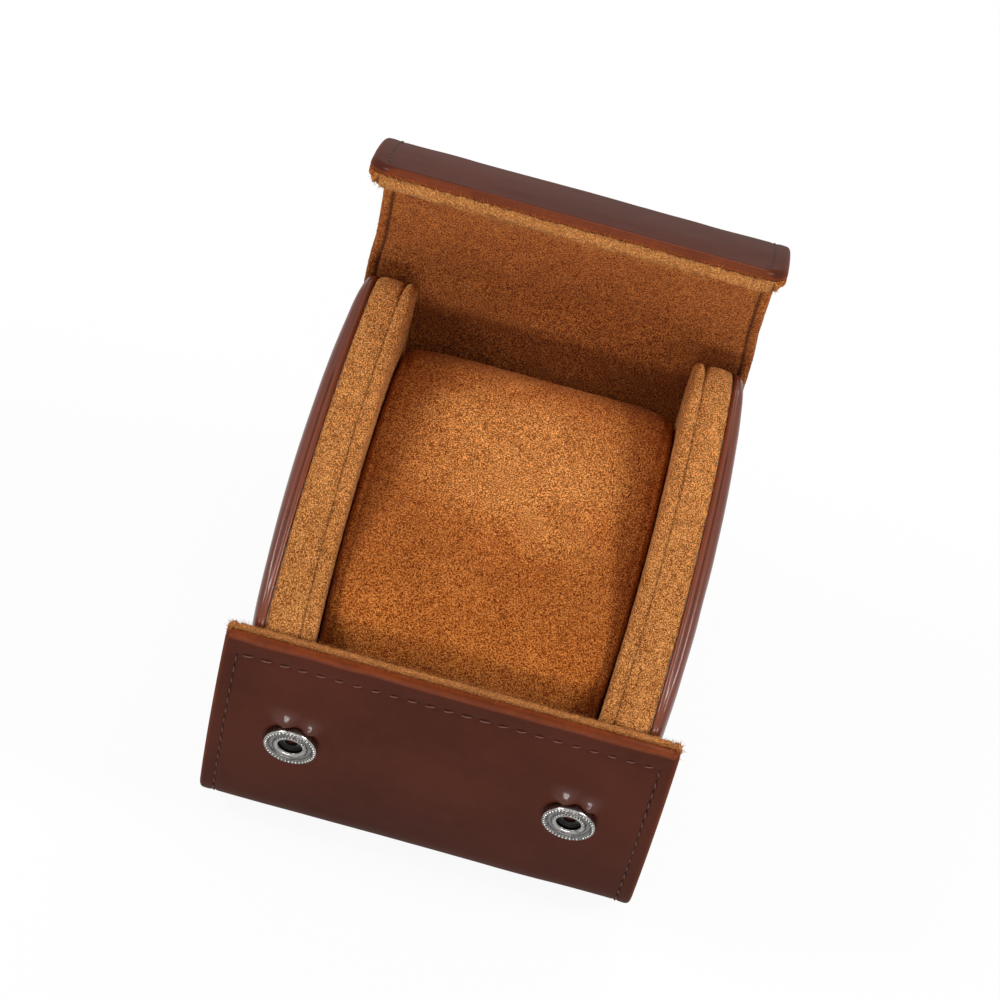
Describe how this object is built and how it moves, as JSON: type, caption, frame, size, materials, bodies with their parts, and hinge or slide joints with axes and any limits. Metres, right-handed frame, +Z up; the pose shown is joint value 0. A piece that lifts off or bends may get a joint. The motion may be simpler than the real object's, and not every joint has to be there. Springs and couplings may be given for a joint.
{
  "type": "watch travel case",
  "caption": "Rounded travel case for one watch, with an arched padded body, a soft watch pillow, and a lid whose front flap folds down onto snap fasteners.",
  "frame": {"origin": "middle of the flat underside, where the case stands", "axes": "+Z up, -Y towards the front panel with the snaps, +X to the right seen from the front"},
  "size_m": [0.086, 0.087, 0.1861],
  "materials": {
    "brown_leather": "smooth semi-gloss reddish brown coated leather with burnished edges",
    "tan_suede": "tan microfibre suede with a short nap",
    "pillow_suede": "tan microfibre suede over soft filling",
    "stiffener_board": "grey stiffener board",
    "foam": "open cell foam padding",
    "nickel": "polished nickel plate",
    "spring_steel": "plain wire"
  },
  "bodies": {
    "case": {"wrap_leather": "brown_leather", "wrap_lining": "tan_suede", "front_board": "stiffener_board", "base_board": "stiffener_board", "back_board": "stiffener_board", "left_side_leather": "brown_leather", "left_side_board": "stiffener_board", "left_side_foam": "foam", "left_inner_panel": "tan_suede", "left_top_band": "tan_suede", "left_snap_socket": "nickel", "left_socket_eyelet": "nickel", "left_socket_spring": "spring_steel", "right_side_leather": "brown_leather", "right_side_board": "stiffener_board", "right_side_foam": "foam", "right_inner_panel": "tan_suede", "right_top_band": "tan_suede", "right_snap_socket": "nickel", "right_socket_eyelet": "nickel", "right_socket_spring": "spring_steel", "pillow_cover": "pillow_suede", "pillow_core": "foam"},
    "lid": {"lid_leather": "brown_leather", "lid_board": "stiffener_board", "lid_lining": "tan_suede"},
    "flap": {"flap_leather": "brown_leather", "flap_board": "stiffener_board", "flap_lining": "tan_suede", "left_snap_stud": "nickel", "left_stud_cap": "nickel", "right_snap_stud": "nickel", "right_stud_cap": "nickel"}
  },
  "joints": [
    {"name": "lid_hinge", "type": "hinge", "parent": "case", "child": "lid", "pos_m": [0, 0.0402, 0.0832], "axis": [1, 0, 0], "range_deg": [-35, 73.9]},
    {"name": "flap_fold", "type": "hinge", "parent": "lid", "child": "flap", "pos_m": [0, 0.00023, 0.16073], "axis": [1, 0, 0], "range_deg": [0, 56.1]}
  ]
}
